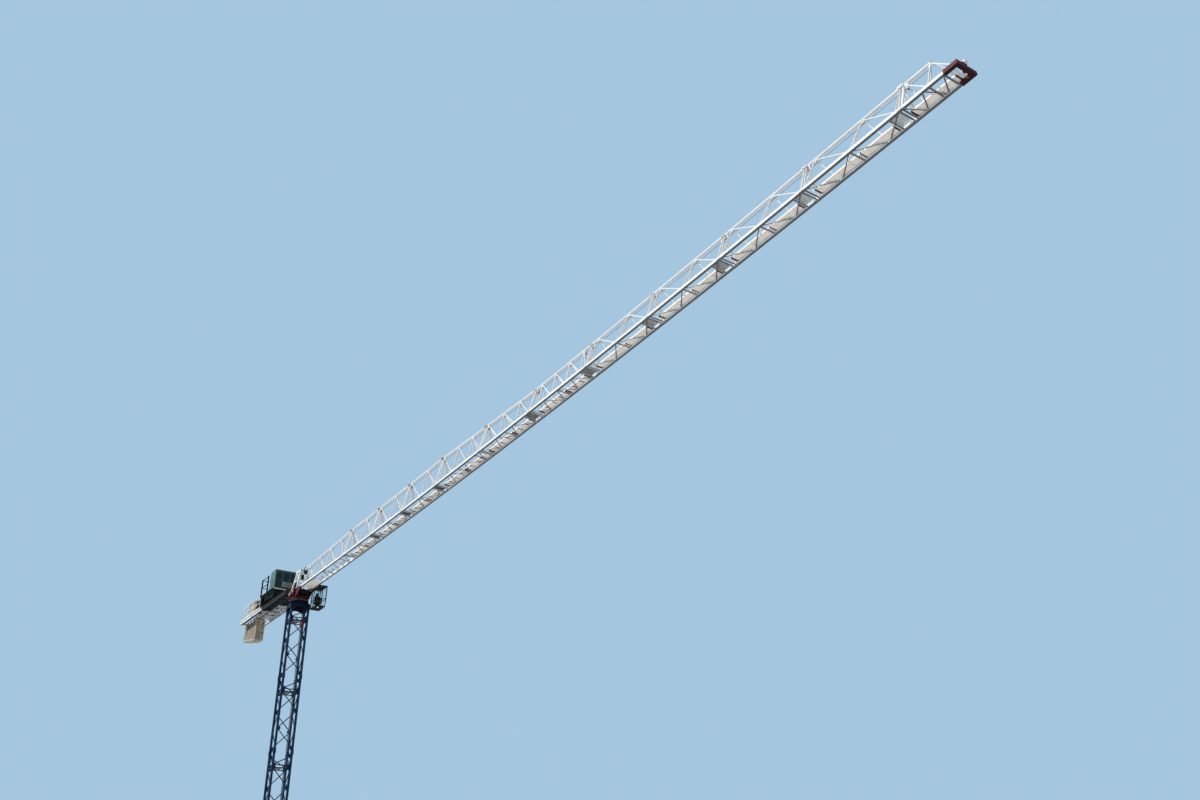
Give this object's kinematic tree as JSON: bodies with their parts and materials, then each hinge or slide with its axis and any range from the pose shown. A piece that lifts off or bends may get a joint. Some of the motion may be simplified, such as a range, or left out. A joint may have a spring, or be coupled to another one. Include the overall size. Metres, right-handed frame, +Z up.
{
  "type": "flat-top tower crane, 1:2 scale model",
  "caption": "Flat-top slewing tower crane on a lattice mast, with a long cambered three-chord jib, glazed cab, machine housing and a short counter-jib with hung concrete weights.",
  "frame": {"origin": "centre of the foundation cross's underside, on the slewing axis", "axes": "+Z up along the slewing axis, +X along the jib at rest"},
  "size_m": [35.832, 1.4536, 15.376],
  "materials": {
    "mast_paint": "semi-gloss navy paint",
    "jib_paint": "semi-gloss off-white paint",
    "red_paint": "semi-gloss maroon paint",
    "dark_paint": "satin dark paint",
    "housing_paint": "satin dark green paint",
    "walkway": "matt cream-coated sheet",
    "galvanised": "dull galvanised steel",
    "dark_steel": "greased machined steel",
    "cab_glazing": "clear",
    "concrete": "cast concrete"
  },
  "bodies": {
    "mast": {"base_frame": "mast_paint", "mast_section_1": "mast_paint", "mast_section_2": "mast_paint", "mast_section_3": "mast_paint", "mast_section_4": "mast_paint", "mast_section_5": "mast_paint", "mast_collars": "mast_paint", "mast_ladder": "galvanised", "mast_platforms": "galvanised", "slew_adapter": "mast_paint", "slew_outer_race": "dark_steel"},
    "upperworks": {"slew_inner_race": "dark_steel", "turntable": "red_paint", "head_frame": "jib_paint", "jib_root": "jib_paint", "jib_section_2": "jib_paint", "jib_section_3": "jib_paint", "jib_section_4": "jib_paint", "jib_section_5": "jib_paint", "jib_section_6": "jib_paint", "jib_section_7": "jib_paint", "jib_section_8": "jib_paint", "jib_section_9": "jib_paint", "jib_section_10": "jib_paint", "jib_section_11": "jib_paint", "jib_tip": "jib_paint", "jib_nose": "red_paint", "jib_pins": "dark_steel", "jib_catwalk": "walkway", "joint_gratings": "galvanised", "root_plate": "walkway", "cab_frame": "dark_paint", "cab_glass": "cab_glazing", "housing_deck": "dark_paint", "housing": "housing_paint", "housing_railing": "dark_paint", "counter_jib": "jib_paint", "counter_deck": "dark_paint", "counter_railing": "jib_paint", "hoist_winch": "dark_steel", "tall_counterweight": "concrete", "short_counterweight": "concrete", "deck_box": "walkway", "rear_cabinet": "housing_paint", "slew_motors": "dark_steel"}
  },
  "joints": [
    {"name": "slew", "type": "hinge", "parent": "mast", "child": "upperworks", "pos_m": [0, 0, 12.9], "axis": [0, 0, 1], "continuous": true}
  ]
}
